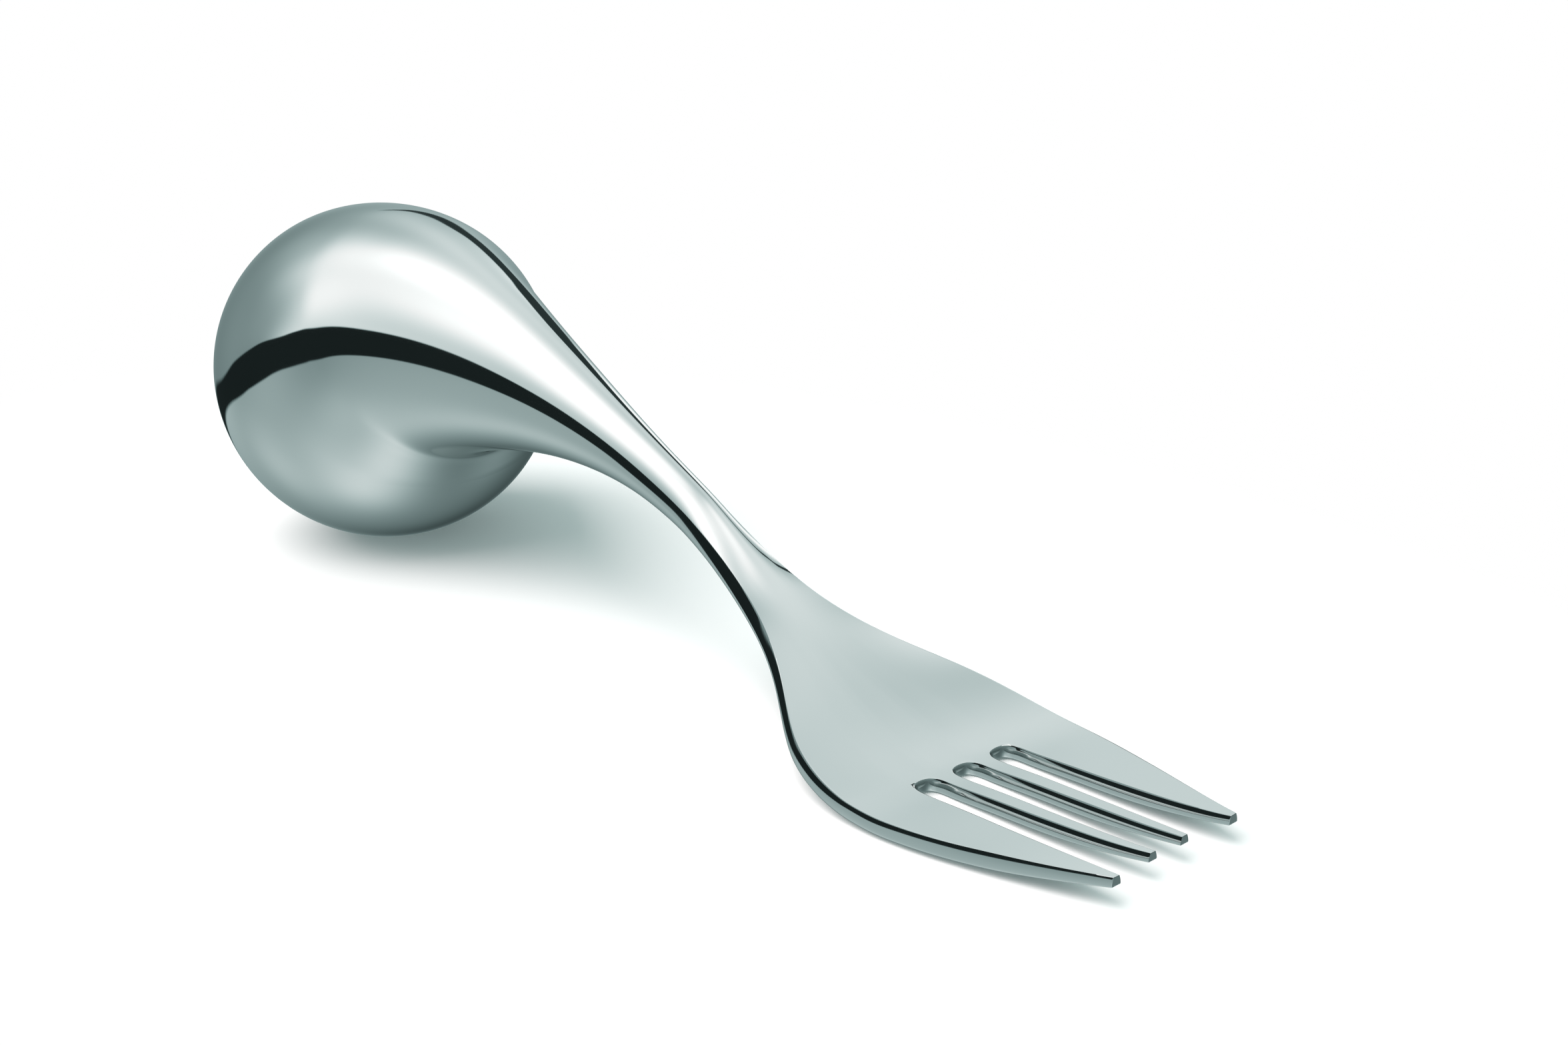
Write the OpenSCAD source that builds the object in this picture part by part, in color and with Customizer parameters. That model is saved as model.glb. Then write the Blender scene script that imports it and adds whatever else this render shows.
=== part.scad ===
// Table fork with a hollow ball grip: a forged head with four tines, joined by its
// tang to a handle that is pressed as a left and a right half shell and welded.
// Lengths are millimetres. +X runs along the fork towards the tines, +Z is up, and
// the ball and the palm of the head both rest on z = 0.

/* [Ball and handle] */
// diameter of the ball that the handle ends in
ball_d = 46; // [40:1:54]
// angle from the ball's top at which the top line leaves the ball
top_leave_angle = 7.05; // [2:0.05:16]
// angle below the ball's middle at which the under line leaves the ball
under_leave_angle = 20; // [8:0.05:22]
// how far the top line keeps the ball's direction
top_leave_pull = 19; // [14:1:24]
// how far the top line holds the neck's direction
top_neck_pull = 28; // [20:1:34]
// how far the under line keeps the ball's direction
under_leave_pull = 2; // [1:0.5:4]
// how far the under line holds the neck's direction
under_neck_pull = 19.5; // [15:0.5:24]
// extra width of the handle just behind the neck
neck_flare = 0.3; // [0:0.1:1]
// wall of the pressed shells
wall = 0.8; // [0.5:0.1:1]
// width of the weld along the middle of the handle
seam_w = 0.8; // [0.5:0.1:1.2]

/* [Neck] */
// distance from the ball's middle to the narrowest place of the neck
neck_x = 66.4; // [55:0.2:80]
// height of the neck's middle above the table
neck_z = 19.2; // [16:0.2:22]
// angle at which the neck slopes down to the head
neck_slope = 23.75; // [18:0.05:27]
// width of the neck at its narrowest place
neck_w = 5.8; // [5:0.1:7]
// thickness of the neck at its narrowest place
neck_t = 5.5; // [5:0.1:6.6]
// length of the weld between the shells and the head
neck_weld_l = 0.8; // [0.5:0.1:1.5]
// diameter of the tang inside the handle
tang_d = 2.8; // [2.2:0.1:3]
// length of the tang
tang_l = 22; // [18:1:26]
// part of the handle's length that is filled around the tang
filler_share = 0.34; // [0.25:0.01:0.4]

/* [Head] */
// distance from the ball's middle to the ends of the tines
tip_x = 136.2; // [125:0.2:165]
// largest width of the head
head_w = 31.3; // [26:0.1:38]
// distance from the largest width to the ends of the tines
head_wide_back = 27; // [22:0.5:30]
// how far the plan of the head keeps the neck's direction
plan_neck_pull = 29.7; // [24:0.1:33]
// how far the plan of the head holds its largest width
plan_head_pull = 19.4; // [15:0.1:23]
// width over the ends of the outer tines
tip_w = 18.6; // [15:0.2:22]
// slope of the outer edges, in plan, at the ends of the tines
tip_taper = 0.3; // [0.2:0.02:0.6]
// depth of the dish across the head
dish = 1; // [0.6:0.1:1.6]
// distance from the deepest place of the dish to the ends of the tines
dish_back = 31.7; // [28:0.1:36]
// length over which the dish fades towards the tines
dish_fade_l = 14.5; // [10:0.5:20]
// part of the dish that is left along the tines
tip_dish_share = 0.22; // [0:0.02:0.5]
// thickness of the palm
palm_t = 1.44; // [1.2:0.02:2]
// thickness of the tines at their ends
tip_t = 0.84; // [0.7:0.02:1.2]
// length over which the tines thin towards their ends
tine_thin_l = 11; // [8:0.5:16]
// distance from the lowest line of the outer edges to the ends of the tines
low_back = 24.2; // [20:0.2:28]
// height of the middle of the outer edges at their lowest line
edge_low_z = 1.4; // [1.4:0.02:2]
// rise of the outer edges from the lowest line to the ends of the tines
tip_rise = 1.43; // [0.8:0.01:3]
// slope of the tines at their ends
tip_slope = 0.13; // [0.08:0.01:0.3]

/* [Tines] */
// length of the slots between the tines
slot_l = 27.75; // [24:0.05:32]
// distance between the slots at their roots
slot_pitch = 5.57; // [5.2:0.01:6.2]
// width of the slots at their roots
slot_w = 3.1; // [2.6:0.1:3.5]
// distance from the middle to the ends of the inner tines
inner_tip_y = 2.3; // [2:0.05:2.7]
// width of a tine at its end
tine_tip_w = 1; // [0.8:0.05:1.4]

/* [Hidden] */
ball_r = ball_d / 2;
seam_y = seam_w / 2;
centre_x = (ball_r - tip_x) / 2;
arc_steps = 16;
ball_steps = 24;
handle_steps = 20;
head_steps = 44;
// gap between the ball's front and the line that its sections turn about
pivot_gap = 2;
palm_squareness = 5;
neck_squareness = 2;
slot_over = 2;
shoulder_l = 2;
root_steps = 16;
side_steps = 10;
straight_share = 0.45;
flare_share = 0.82;
flare_rise = 0.3;
filler_steps = ceil(filler_share * handle_steps);
plan_wide_pull = 9.6;
plan_tip_pull = 6;
low_pull = 5.2;
low_tip_pull = 10.5;
// step over which the slope of the head's side line is measured
slope_step = 0.1;
low_neck_pull = 16.8;
neck_low_pull = 4.9;

function bezier(a, b, c, d, t) =
    pow(1 - t, 3) * a + 3 * pow(1 - t, 2) * t * b + 3 * (1 - t) * t * t * c + pow(t, 3) * d;
function ease(t) = t * t * (3 - 2 * t);
function clamp01(t) = max(0, min(1, t));
function signed_power(v, e) = sign(v) * pow(abs(v), e);

// side view points are [x, z] with x measured from the ball's middle
ball_mid = [0, ball_r];
top_start = ball_mid + ball_r * [sin(top_leave_angle), cos(top_leave_angle)];
top_dir = [cos(top_leave_angle), -sin(top_leave_angle)];
under_start = ball_mid + ball_r * [cos(under_leave_angle), -sin(under_leave_angle)];
under_dir = [sin(under_leave_angle), cos(under_leave_angle)];
neck_dir = [cos(neck_slope), -sin(neck_slope)];
neck_up = [sin(neck_slope), cos(neck_slope)];
neck_mid = [neck_x, neck_z];
neck_top = neck_mid + neck_t / 2 * neck_up;
neck_under = neck_mid - neck_t / 2 * neck_up;

function top_line(v) = bezier(top_start, top_start + top_leave_pull * top_dir,
    neck_top - top_neck_pull * neck_dir, neck_top, v);
function under_line(v) = bezier(under_start, under_start + under_leave_pull * under_dir,
    neck_under - under_neck_pull * neck_dir, neck_under, v);

// the section at which the handle leaves the ball is a circle of the ball
leave_mid = (top_start + under_start) / 2;
leave_r = norm(top_start - under_start) / 2;
leave_offset = norm(leave_mid - ball_mid);
leave_shrink = -(leave_mid - ball_mid) * (top_leave_pull * top_dir + under_leave_pull * under_dir)
    / (2 * leave_r);
function half_w(v) = bezier(leave_r, leave_r + leave_shrink,
    neck_w / 2 + neck_flare, neck_w / 2, v);
leave_wall = leave_r - sqrt(pow(ball_r - wall, 2) - pow(leave_offset, 2));
function section_wall(v) = wall + (leave_wall - wall) * pow(1 - v, 2);

// half of a section, on the side y > 0, from the top seam to the under seam:
// middle and up direction in the side view, half thickness, half width
function half_arc(mid, up, h, w, squareness = 2) =
    let (reach = acos(clamp01(pow(min(1, seam_y / w), squareness / 2))))
    [for (i = [0 : arc_steps])
        let (a = reach * (1 - 2 * i / arc_steps), s = h * signed_power(sin(a), 2 / squareness))
        [mid.x + s * up.x, w * signed_power(cos(a), 2 / squareness), mid.y + s * up.y]];
function backwards(points) = [for (i = [len(points) - 1 : -1 : 0]) points[i]];
function mirrored(points) = [for (p = backwards(points)) [p.x, -p.y, p.z]];
function full_ring(points) = concat(points, mirrored(points));

function handle_arc(v, inset) =
    let (t = top_line(v), u = under_line(v), h = norm(t - u) / 2)
    half_arc((t + u) / 2, (t - u) / (2 * h), h - inset, half_w(v) - inset);
function shell_arc(v, inner) = handle_arc(v, inner ? section_wall(v) : 0);

// sections of the ball turn about a pivot line just in front of its underside
leave_up = (top_start - under_start) / (2 * leave_r);
pivot = under_start - pivot_gap * leave_up;
pivot_d = norm(pivot - ball_mid);
mid_angle = atan2(ball_mid.y - pivot.y, ball_mid.x - pivot.x);
leave_swing = asin(leave_offset / pivot_d);
function end_swing(r) = -asin(sqrt(r * r - seam_y * seam_y) / pivot_d);
function ball_arc(k, r) =
    let (swing = leave_swing + (end_swing(r) - leave_swing) * k / ball_steps,
        up = [cos(mid_angle - swing), sin(mid_angle - swing)],
        mid = pivot + pivot_d * cos(swing) * up,
        ring_r = sqrt(r * r - pow(pivot_d * sin(swing), 2)))
    half_arc(mid, up, ring_r, ring_r);
function ball_end(r) = let (arc = ball_arc(ball_steps, r)) [arc[0].x, seam_y, arc[0].z];

function shell_arcs(inner) = concat(
    [for (k = [ball_steps - 1 : -1 : 0]) ball_arc(k, inner ? ball_r - wall : ball_r)],
    [for (i = [1 : handle_steps]) shell_arc(i / handle_steps, inner)]);

// triangles between two rows of points that start at a and b, n points each
function strip(a, b, n) = [for (i = [0 : n - 2], s = [0, 1])
    s == 0 ? [a + i, a + i + 1, b + i + 1] : [a + i, b + i + 1, b + i]];
function flat(lists) = [for (l = lists, p = l) p];
function turned(faces) = [for (f = faces) [f[2], f[1], f[0]]];

// closed skin through rings of n points; the ends are closed by fans about their middles
// the second half of each ring is split the other way, so both sides of the fork match
function ring_faces(rows, n) = [for (r = [0 : rows - 2], i = [0 : n - 1], s = [0, 1])
    let (a = r * n + i, b = r * n + (i + 1) % n)
    i < n / 2 ? (s == 0 ? [a, b, b + n] : [a, b + n, a + n])
    : (s == 0 ? [a, b, a + n] : [b, b + n, a + n])];
function cap_faces(start, n, middle) = [for (i = [0 : n - 1])
    [start + (i + 1) % n, start + i, middle]];
function middle_of(points) = [for (k = [0 : 2]) [for (p = points) p[k]] * [for (p = points) 1]]
    / len(points);

module skin(rings) {
    n = len(rings[0]);
    rows = len(rings);
    first_mid = rows * n;
    points = concat(flat(rings), [middle_of(rings[0])], [middle_of(rings[rows - 1])]);
    faces = concat(ring_faces(rows, n), cap_faces(0, n, first_mid),
        turned(cap_faces((rows - 1) * n, n, first_mid + 1)));
    polyhedron(points, turned(faces), convexity = 6);
}

// tube through matching outer and inner rings, closed flat at both ends
module tube(outer, inner) {
    n = len(outer[0]);
    rows = len(outer);
    all = rows * n;
    points = concat(flat(outer), flat(inner));
    ends = [for (e = [0, rows - 1], i = [0 : n - 1], s = [0, 1])
        let (a = e * n + i, b = e * n + (i + 1) % n,
            f = s == 0 ? [a, all + a, all + b] : [a, all + b, b])
        e == 0 ? f : [f[2], f[1], f[0]]];
    inside = [for (f = ring_faces(rows, n)) [f[2] + all, f[1] + all, f[0] + all]];
    polyhedron(points, turned(concat(ring_faces(rows, n), inside, ends)), convexity = 6);
}

module half_shell() {
    outer = shell_arcs(false);
    inner = shell_arcs(true);
    n = arc_steps + 1;
    rows = len(outer);
    all = rows * n;
    outer_end = 2 * all;
    inner_end = outer_end + 1;
    points = concat(flat(outer), flat(inner), [ball_end(ball_r)], [ball_end(ball_r - wall)]);
    outside = concat(
        [for (r = [0 : rows - 2]) each strip(r * n, (r + 1) * n, n)],
        [for (i = [0 : n - 2]) [outer_end, i + 1, i]]);
    inside = concat(
        [for (r = [0 : rows - 2]) each turned(strip(all + r * n, all + (r + 1) * n, n))],
        [for (i = [0 : n - 2]) [inner_end, all + i, all + i + 1]]);
    seam_edges = [for (j = [0, n - 1], r = [-1 : rows - 2], s = [0, 1])
        let (a = r < 0 ? outer_end : r * n + j, b = (r + 1) * n + j,
            c = r < 0 ? inner_end : all + r * n + j, d = all + (r + 1) * n + j,
            f = s == 0 ? [a, b, d] : [a, d, c])
        j == 0 ? f : [f[2], f[1], f[0]]];
    last = (rows - 1) * n;
    neck_end = strip(last, all + last, n);
    polyhedron(points, concat(outside, inside, seam_edges, neck_end), convexity = 6);
}

// head: plan half width, height of the outer edges, half thickness, dish
low_x = tip_x - low_back;
wide_x = tip_x - head_wide_back;
dish_x = tip_x - dish_back;
thin_x = tip_x - tine_thin_l;
root_x = tip_x - slot_l;
// sections of the tines stand upright from here on
upright_x = tip_x - 3;
shoulder = neck_mid + neck_weld_l * neck_dir;
fall = tan(neck_slope);

// places on the two curves that meet at the largest width or the lowest line, found by
// halving the range of the curve until its x is reached
function curve_at(a, b, c, d, x, lo = 0, hi = 1, left = 30) =
    let (t = (lo + hi) / 2, p = bezier(a, b, c, d, t))
    left == 0 ? p.y
    : p.x < x ? curve_at(a, b, c, d, x, t, hi, left - 1)
    : curve_at(a, b, c, d, x, lo, t, left - 1);
function plan_w(x) = x < wide_x
    ? curve_at([neck_x, neck_w / 2], [neck_x + plan_neck_pull, neck_w / 2],
        [wide_x - plan_head_pull, head_w / 2], [wide_x, head_w / 2], x)
    : curve_at([wide_x, head_w / 2], [wide_x + plan_wide_pull, head_w / 2],
        [tip_x - plan_tip_pull, tip_w / 2 + tip_taper * plan_tip_pull], [tip_x, tip_w / 2], x);
function edge_z(x) = x < low_x
    ? curve_at(neck_mid, neck_mid + neck_low_pull * [1, -fall],
        [low_x - low_neck_pull, edge_low_z], [low_x, edge_low_z], x)
    : curve_at([low_x, edge_low_z], [low_x + low_pull, edge_low_z],
        [tip_x - low_tip_pull, edge_low_z + tip_rise - tip_slope * low_tip_pull],
        [tip_x, edge_low_z + tip_rise], x);
function along(x, from, to) = clamp01((x - from) / (to - from));
function half_t(x) = x < low_x
    ? palm_t / 2 + (neck_t - palm_t) / 2 * pow(1 - along(x, neck_x, low_x), 2)
    : palm_t / 2 + (tip_t - palm_t) / 2 * along(x, thin_x, tip_x);
function dish_at(x) = x < dish_x ? dish * ease(along(x, neck_x, dish_x))
    : dish * (1 - (1 - tip_dish_share) * ease(along(x, dish_x, dish_x + dish_fade_l)));
function squareness_at(x) = neck_squareness
    + (palm_squareness - neck_squareness) * ease(along(x, neck_x, root_x));
function lean_at(x) = atan((edge_z(x + slope_step) - edge_z(x - slope_step)) / (2 * slope_step));

function head_ring(x) =
    let (w = plan_w(x), lean = lean_at(min(x, tip_x - slope_step)) * (1 - along(x, root_x, upright_x)),
        arc = half_arc([x, edge_z(x)], [-sin(lean), cos(lean)], half_t(x), w, squareness_at(x)))
    full_ring([for (p = arc) [p.x, p.y, p.z - dish_at(x) * (1 - pow(p.y / w, 2))]]);
function shifted(ring, by) = [for (p = ring) [p.x + by.x, p.y, p.z + by.y]];

neck_ring = full_ring(shell_arc(1, false));
neck_bore = full_ring(shell_arc(1, true));
tang_ring = full_ring(half_arc(neck_mid, neck_up, tang_d / 2, tang_d / 2));
weld_shift = neck_weld_l * neck_dir;
first_head_x = shoulder.x + shoulder_l;

module head_blank() {
    skin(concat(
        [shifted(tang_ring, -tang_l * neck_dir), shifted(tang_ring, weld_shift),
            shifted(neck_ring, weld_shift)],
        [for (i = [0 : head_steps]) head_ring(first_head_x + (tip_x - first_head_x) * i / head_steps)]));
}

// side of a slot, from its round root to the end of a tine
function slot_side(from_y, to_y) =
    let (start = root_x + slot_w / 2, run = tip_x - start)
    [for (i = [1 : side_steps])
        bezier([start, from_y], [start + straight_share * run, from_y],
            [start + flare_share * run, from_y + flare_rise * (to_y - from_y)], [tip_x, to_y],
            i / side_steps)];

// one slot seen from above: round root, sides that part towards the ends of the tines
module slot_outline(root_y, low_y, high_y) {
    r = slot_w / 2;
    far = tip_x + slot_over;
    polygon(concat(
        [for (i = [0 : root_steps]) let (a = 90 + 180 * i / root_steps)
            [root_x + r + r * cos(a), root_y + r * sin(a)]],
        slot_side(root_y - r, low_y),
        [[far, low_y], [far, high_y]],
        backwards(slot_side(root_y + r, high_y))));
}

module slot_cut(root_y, low_y, high_y)
    translate([0, 0, -1])
        linear_extrude(neck_z)
            slot_outline(root_y, low_y, high_y);

// places across the ends of the tines at which their sides run out
inner_low = inner_tip_y - tine_tip_w / 2;
inner_high = inner_tip_y + tine_tip_w / 2;
outer_low = tip_w / 2 - tine_tip_w;

module placed() translate([centre_x, 0, 0]) children();

module fork_head() color("silver") placed() difference() {
    head_blank();
    slot_cut(0, -inner_low, inner_low);
    slot_cut(slot_pitch, inner_high, outer_low);
    slot_cut(-slot_pitch, -outer_low, -inner_high);
}

module left_shell() color("gainsboro") placed() half_shell();

module right_shell() color("gainsboro") placed() mirror([0, 1, 0]) half_shell();

module seam_weld() color("darkgray") placed() rotate([90, 0, 0]) linear_extrude(seam_w, center = true)
    polygon([for (p = seam_loop()) [p.x, p.z]]);

// outline of the seam strip: the outer line from neck to neck, then the inner line back
function seam_side(inner) =
    let (arcs = shell_arcs(inner), rows = len(arcs))
    concat([for (r = [rows - 1 : -1 : 0]) arcs[r][0]],
        [ball_end(inner ? ball_r - wall : ball_r)],
        [for (r = [0 : rows - 1]) arcs[r][arc_steps]]);
function seam_loop() = let (back = seam_side(true))
    concat(seam_side(false), backwards(back));

module neck_weld() color("darkgray") placed() tube(
    [neck_ring, shifted(neck_ring, weld_shift)],
    [tang_ring, shifted(tang_ring, weld_shift)]);

// tang outline cut by the plane of the handle's section at v
function tang_cut(v) =
    let (t = top_line(v), u = under_line(v), m = (t + u) / 2, up = (t - u) / norm(t - u),
        across = [up.y, -up.x])
    [for (p = tang_ring)
        let (s = ((m - [p.x, p.z]) * across) / (neck_dir * across))
        [p.x + s * neck_dir.x, p.y, p.z + s * neck_dir.y]];

module tang_filler() color("dimgray") placed() tube(
    [for (i = [handle_steps - filler_steps : handle_steps]) full_ring(shell_arc(i / handle_steps, true))],
    [for (i = [handle_steps - filler_steps : handle_steps]) tang_cut(i / handle_steps)]);

fork_head();
left_shell();
right_shell();
seam_weld();
neck_weld();
tang_filler();
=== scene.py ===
# %% [markdown]
# # A ball-handled table fork
# The fork stands on two points: the round ball at the end of its handle and the low middle of its
# head. No joint can be seen, so it is taken to be made of five steel pieces that are welded and then
# polished all over. The lesson draws one closed skin first and cuts the pieces out of it afterwards,
# so that the reflections run on from one piece to the next.

# %% Load the measured model
from math import asin, atan, atan2, cos, pi, radians, sin, sqrt, tan

import bmesh
import bpy
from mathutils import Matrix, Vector


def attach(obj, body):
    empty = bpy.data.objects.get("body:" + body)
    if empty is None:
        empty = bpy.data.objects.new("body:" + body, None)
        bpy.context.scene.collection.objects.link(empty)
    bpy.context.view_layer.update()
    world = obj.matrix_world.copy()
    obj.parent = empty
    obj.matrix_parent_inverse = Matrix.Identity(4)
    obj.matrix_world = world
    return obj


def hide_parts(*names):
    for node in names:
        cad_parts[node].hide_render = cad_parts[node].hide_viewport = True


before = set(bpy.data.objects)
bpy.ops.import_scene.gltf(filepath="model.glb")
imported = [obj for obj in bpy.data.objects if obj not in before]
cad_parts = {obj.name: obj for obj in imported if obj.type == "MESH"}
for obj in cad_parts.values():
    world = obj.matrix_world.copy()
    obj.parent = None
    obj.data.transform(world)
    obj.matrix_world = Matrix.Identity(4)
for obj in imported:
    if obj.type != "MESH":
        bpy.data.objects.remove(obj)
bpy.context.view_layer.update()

# %% [markdown]
# ## Camera
# The picture is taken from the front right and a little above, with the tines nearest. A long lens
# keeps the perspective mild. The camera stands where the outlines of the ball, the handle and the
# tines all fall in the right place.

# %% Camera
camera_data = bpy.data.cameras.new("fork_camera")
camera_data.sensor_fit = "HORIZONTAL"
camera_data.sensor_width = 36.0
camera_data.lens = 45.39
camera_data.clip_start = 0.01
camera = bpy.data.objects.new("fork_camera", camera_data)
camera.location = (0.17756, -0.13483, 0.09138)
camera.rotation_euler = (radians(70.945), radians(0.7), radians(48.205))
bpy.context.collection.objects.link(camera)
bpy.context.scene.camera = camera
bpy.context.scene.view_settings.view_transform = "Standard"
print("lens", camera_data.lens, "mm")

# %% [markdown]
# ## Outline of the fork
# The side view is drawn in millimetres from the middle of the ball. The top line leaves the ball
# near its crown and the under line leaves it near its front, and both run down to a thin neck. These
# are the same curves as in the measured model, so every piece lands on the part it stands for.

# %% Curves of the side view
BALL_R = 23.0
BALL_X = -56.6
NECK_X, NECK_Z = 66.4, 19.2
NECK = Vector((NECK_X, NECK_Z))
NECK_SLOPE = radians(23.75)
NECK_HALF_W = 2.9
NECK_HALF_T = 2.75


def at(x, y, z):
    """Millimetres from the ball's middle to metres in the shared frame."""
    return Vector(((x + BALL_X) / 1000, y / 1000, z / 1000))


def bezier(a, b, c, d, t):
    return a * (1 - t) ** 3 + b * 3 * (1 - t) ** 2 * t + c * 3 * (1 - t) * t * t + d * t ** 3


print("neck", NECK_X, "mm in front of the ball's middle and", NECK_Z, "mm up")

# %% Where the handle leaves the ball
TOP_LEAVE_PULL, TOP_NECK_PULL = 19, 28
UNDER_LEAVE_PULL, UNDER_NECK_PULL = 2, 19.5
ball_mid = Vector((0, BALL_R))
top_angle, under_angle = radians(7.05), radians(20)
top_start = ball_mid + BALL_R * Vector((sin(top_angle), cos(top_angle)))
top_dir = Vector((cos(top_angle), -sin(top_angle)))
under_start = ball_mid + BALL_R * Vector((cos(under_angle), -sin(under_angle)))
under_dir = Vector((sin(under_angle), cos(under_angle)))
neck_dir = Vector((cos(NECK_SLOPE), -sin(NECK_SLOPE)))
neck_up = Vector((sin(NECK_SLOPE), cos(NECK_SLOPE)))
neck_top, neck_under = NECK + NECK_HALF_T * neck_up, NECK - NECK_HALF_T * neck_up
leave_mid = (top_start + under_start) / 2
leave_r = (top_start - under_start).length / 2
leave_up = (top_start - under_start) / (2 * leave_r)
leave_pull = TOP_LEAVE_PULL * top_dir + UNDER_LEAVE_PULL * under_dir
leave_shrink = -(leave_mid - ball_mid).dot(leave_pull) / (2 * leave_r)
print("handle leaves the ball as a ring of radius", round(leave_r, 2), "mm")

# %% Sections of handle and ball
NECK_FLARE = 0.3
PIVOT_GAP = 8


def handle_section(v):
    """Middle, up direction, half width and half height of the handle, v from ball to neck."""
    top = bezier(top_start, top_start + TOP_LEAVE_PULL * top_dir,
                 neck_top - TOP_NECK_PULL * neck_dir, neck_top, v)
    under = bezier(under_start, under_start + UNDER_LEAVE_PULL * under_dir,
                   neck_under - UNDER_NECK_PULL * neck_dir, neck_under, v)
    half = (top - under).length / 2
    wide = bezier(leave_r, leave_r + leave_shrink, NECK_HALF_W + NECK_FLARE, NECK_HALF_W, v)
    return (top + under) / 2, (top - under) / (2 * half), wide, half


pivot = under_start - PIVOT_GAP * leave_up
pivot_d = (pivot - ball_mid).length
mid_angle = atan2(ball_mid.y - pivot.y, ball_mid.x - pivot.x)
leave_swing = asin((leave_mid - ball_mid).length / pivot_d)


def ball_section(swing):
    """Circle of the ball in a plane that turns about a line in front of its underside."""
    up = Vector((cos(mid_angle - swing), sin(mid_angle - swing)))
    ring_r = sqrt(BALL_R ** 2 - (pivot_d * sin(swing)) ** 2)
    return pivot + pivot_d * cos(swing) * up, up, ring_r, ring_r


print("ball's rings turn about a line", round(pivot_d, 2), "mm from its middle")

# %% [markdown]
# ## Ball
# The ball could be a UV sphere joined on later, but the join would show in a mirror finish. Instead
# the fork grows as one tube. A ring of points starts low on the front of the ball and is extruded
# over the ball. Each new ring is turned upright, resized, leaned and moved into place.

# %% First ring
COLUMNS = 11
RING = 4 * COLUMNS + 2
STEP = 2 * pi / RING
# Subdivision draws a ring inwards, and this factor makes up for it.
SHRINK = 3 / (2 + cos(STEP))
bpy.ops.object.select_all(action="DESELECT")
bpy.ops.mesh.primitive_circle_add(vertices=RING, radius=1, location=(0, 0, 0),
                                  rotation=(0, radians(90), 0))
skin = bpy.context.object
skin.name = "fork_skin"
bpy.ops.object.transform_apply(location=False, rotation=True, scale=False)
bpy.ops.object.vertex_group_add()
skin.vertex_groups[0].name = "round"
bpy.ops.object.mode_set(mode="EDIT")
bpy.ops.mesh.select_mode(type="VERT")
bpy.ops.mesh.select_all(action="SELECT")
ring = {"mid": Vector((0, 0, 0)), "lean": 0.0, "wide": 1.0, "high": 1.0}


def place_ring(section, roundness, swell=SHRINK):
    """Move the selected ring to a section of the fork and say how round the ball makes it."""
    mid, up, wide, high = section
    lean = atan2(up.x, up.y)
    mid, wide, high = at(mid.x, 0, mid.y), wide * swell / 1000, high * swell / 1000
    here = ring["mid"]
    bpy.ops.transform.rotate(value=ring["lean"], orient_axis="Y", center_override=here)
    bpy.ops.transform.resize(value=(1, wide / ring["wide"], high / ring["high"]), center_override=here)
    bpy.ops.transform.rotate(value=-lean, orient_axis="Y", center_override=here)
    bpy.ops.transform.translate(value=mid - here)
    bpy.context.tool_settings.vertex_group_weight = roundness
    bpy.ops.object.vertex_group_assign()
    ring.update(mid=mid, lean=lean, wide=wide, high=high)


BALL_RINGS = 13
FIRST_RING_R = 6.0
first_swing = -asin(sqrt(BALL_R ** 2 - FIRST_RING_R ** 2) / pivot_d)
place_ring(ball_section(first_swing), 1.0)
print("ring of", RING, "points at", [round(v, 4) for v in ring["mid"]])

# %% Rings over the ball
BALL_SWELL = 1.005
ROUND_FADE, SOFT_RINGS, CROWN_RINGS = 5, 4, 2
FLANK_RISE = 0.1
bpy.ops.mesh.fill_grid(span=COLUMNS, offset=0)
bpy.ops.mesh.select_non_manifold(extend=False, use_wire=False, use_multi_face=False,
                                 use_non_contiguous=False, use_verts=False)
hollow, crown = [], []


def note_points(section, near):
    """Remember the lower points of the selected ring, and near the ball the upper ones too."""
    up = Vector((section[1].x, 0, section[1].y))
    mesh = bmesh.from_edit_mesh(skin.data)
    mesh.verts.index_update()
    for vert in [v for v in mesh.verts if v.select]:
        rise = (vert.co - ring["mid"]).dot(up) / ring["high"]
        if rise <= FLANK_RISE:
            hollow.append(vert.index)
        elif near:
            crown.append(vert.index)


for step in range(1, BALL_RINGS + 1):
    section = ball_section(first_swing + (leave_swing - first_swing) * step / BALL_RINGS)
    bpy.ops.mesh.extrude_edges_move()
    left = BALL_RINGS - step
    place_ring(section, min(1.0, left / ROUND_FADE), SHRINK * BALL_SWELL)
    if left < SOFT_RINGS:
        note_points(section, left < CROWN_RINGS)
print("ball ends at", [round(v, 4) for v in ring["mid"]],
      "radius", round(ring["wide"] * 1000, 2), "mm")

# %% [markdown]
# ## Handle
# On the real fork the handle is drawn out of the ball like a drop: steep at first, then long and
# thin. Its sections are nearly ellipses, so the same ring goes on down to the neck. The mirror image
# on the flanks shows that the widest line lies a little below the middle, so it is lowered at the end.

# %% Rings down the handle
HANDLE_STEPS = (0.05, 0.11, 0.18, 0.26, 0.35, 0.44, 0.53, 0.62, 0.72, 0.82, 0.91, 1.0)
FLANK_DROP = 0.05
DROP_FADE, SOFT_END, CROWN_END = 0.2, 0.5, 0.15
drops, handle_rings = {}, {}


def spot(co):
    """A place rounded to a thousandth of a millimetre, to find a point again."""
    return tuple(round(v * 1e6) for v in co)


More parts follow.
